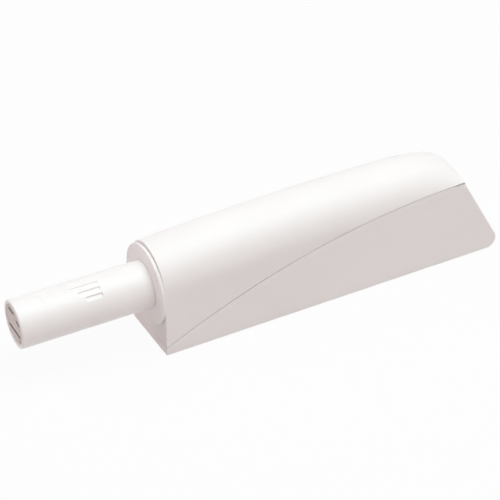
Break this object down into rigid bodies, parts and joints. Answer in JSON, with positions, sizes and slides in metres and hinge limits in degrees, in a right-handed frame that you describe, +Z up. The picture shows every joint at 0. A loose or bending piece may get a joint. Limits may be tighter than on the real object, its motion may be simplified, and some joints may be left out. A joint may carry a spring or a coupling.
{
  "type": "touch latch",
  "caption": "Push-to-open latch cartridge with a magnet tip, carried in an arched screw-on housing with a wedge-shaped base.",
  "frame": {"origin": "midway between the two screw holes, on the mounting face under the base", "axes": "+X along the plunger towards the rear of the housing, +Z up out of the panel"},
  "size_m": [0.0908, 0.014, 0.02],
  "materials": {
    "housing_plastic": "fine satin moulding",
    "cartridge_plastic": "smooth satin moulding",
    "plunger_plastic": "smooth low-friction moulding",
    "insert_plastic": "matt moulding",
    "slide_plastic": "natural acetal",
    "pole_steel": "dark oxide",
    "magnet_plating": "nickel plated",
    "spring_steel": "bright spring steel",
    "soft_rubber": "matt"
  },
  "bodies": {
    "base": {"mounting_base": "housing_plastic"},
    "cover": {"housing_cover": "housing_plastic", "cartridge_barrel": "cartridge_plastic", "barrel_clip": "spring_steel", "barrel_end_cap": "cartridge_plastic", "stop_cushion": "soft_rubber", "wire_anchor": "cartridge_plastic", "pressure_leaf": "spring_steel"},
    "plunger": {"cam_slide": "slide_plastic", "brake_ring": "soft_rubber", "spring_washer": "spring_steel", "main_spring": "spring_steel"},
    "plunger_head": {"plunger_tube": "plunger_plastic", "tip_insert": "insert_plastic", "magnet": "magnet_plating", "upper_pole_plate": "pole_steel", "lower_pole_plate": "pole_steel", "magnet_cushion": "soft_rubber", "adjusting_nut": "insert_plastic"},
    "wire": {"latch_wire": "spring_steel"}
  },
  "joints": [
    {"name": "cover_lift", "type": "slide", "parent": "base", "child": "cover", "axis": [0, 0, 1], "range_m": [0, 0.03]},
    {"name": "plunger_push", "type": "slide", "parent": "cover", "child": "plunger", "axis": [1, 0, 0], "range_m": [0, 0.02], "stiffness_N_per_m": 300, "springref_m": -0.03, "deforming": ["main_spring"]},
    {"name": "gap_adjust", "type": "hinge", "parent": "plunger", "child": "plunger_head", "pos_m": [-0.04, 0, 0.01076], "axis": [1, 0, 0], "range_deg": [0, 1080]},
    {"name": "wire_swing", "type": "hinge", "parent": "cover", "child": "wire", "pos_m": [0.01686, 0, 0.01076], "axis": [0, 0, 1], "range_deg": [-4, 4]}
  ],
  "couplings": [
    {"joint": "wire_swing", "follows": "plunger_push", "rad_per_m": 3.49}
  ]
}
